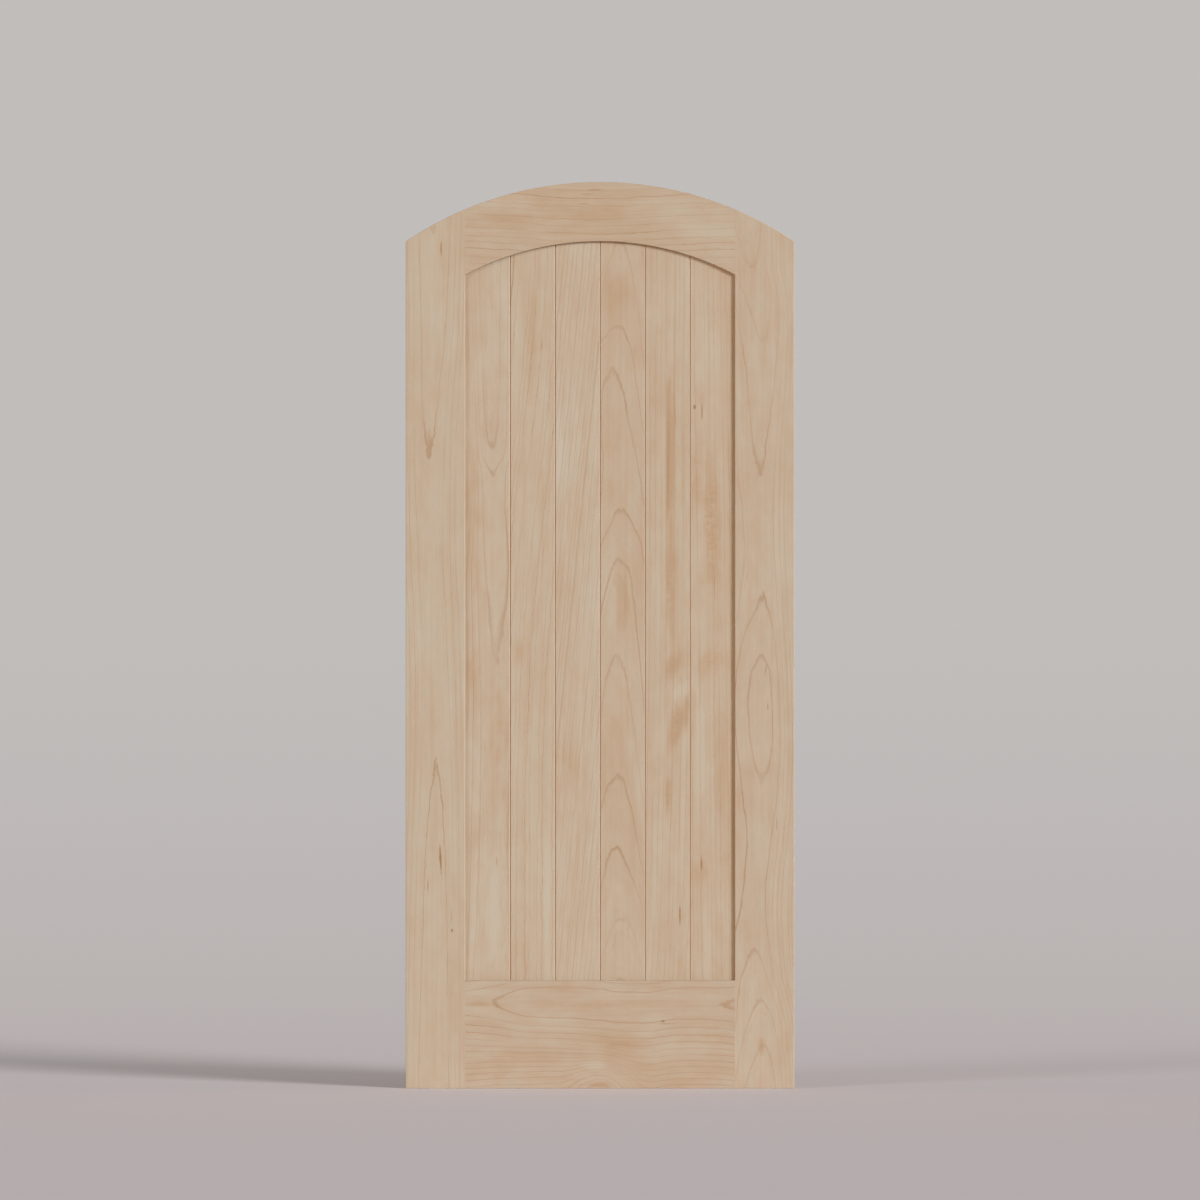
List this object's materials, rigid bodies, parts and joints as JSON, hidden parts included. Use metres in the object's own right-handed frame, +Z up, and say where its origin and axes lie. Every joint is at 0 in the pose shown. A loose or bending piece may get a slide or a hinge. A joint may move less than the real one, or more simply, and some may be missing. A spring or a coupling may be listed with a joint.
{
  "type": "arched door leaf",
  "caption": "Solid wooden door leaf with a segmental arched top, a stile-and-rail frame and a recessed field of vertical V-jointed planks.",
  "frame": {"origin": "middle of the base, midway through the leaf's thickness", "axes": "+X across the leaf to the right as seen from the front, the front face towards -Y, +Z up to the crown of the arch"},
  "size_m": [0.9144, 0.0444, 2.1335],
  "materials": {
    "stile_wood": "bare hard maple, fine sanded, matte",
    "rail_wood": "bare hard maple, fine sanded, matte",
    "plank_wood": "bare hard maple, fine sanded, matte",
    "dowel_wood": "bare beech, turned and fluted"
  },
  "bodies": {
    "root": {"stile_left": "stile_wood", "stile_right": "stile_wood", "top_rail": "rail_wood", "bottom_rail": "rail_wood", "plank_1": "plank_wood", "plank_2": "plank_wood", "plank_3": "plank_wood", "plank_4": "plank_wood", "plank_5": "plank_wood", "plank_6": "plank_wood", "dowel_top_left_1": "dowel_wood", "dowel_top_left_2": "dowel_wood", "dowel_top_right_1": "dowel_wood", "dowel_top_right_2": "dowel_wood", "dowel_bottom_left_1": "dowel_wood", "dowel_bottom_left_2": "dowel_wood", "dowel_bottom_left_3": "dowel_wood", "dowel_bottom_left_4": "dowel_wood", "dowel_bottom_right_1": "dowel_wood", "dowel_bottom_right_2": "dowel_wood", "dowel_bottom_right_3": "dowel_wood", "dowel_bottom_right_4": "dowel_wood"}
  },
  "joints": []
}
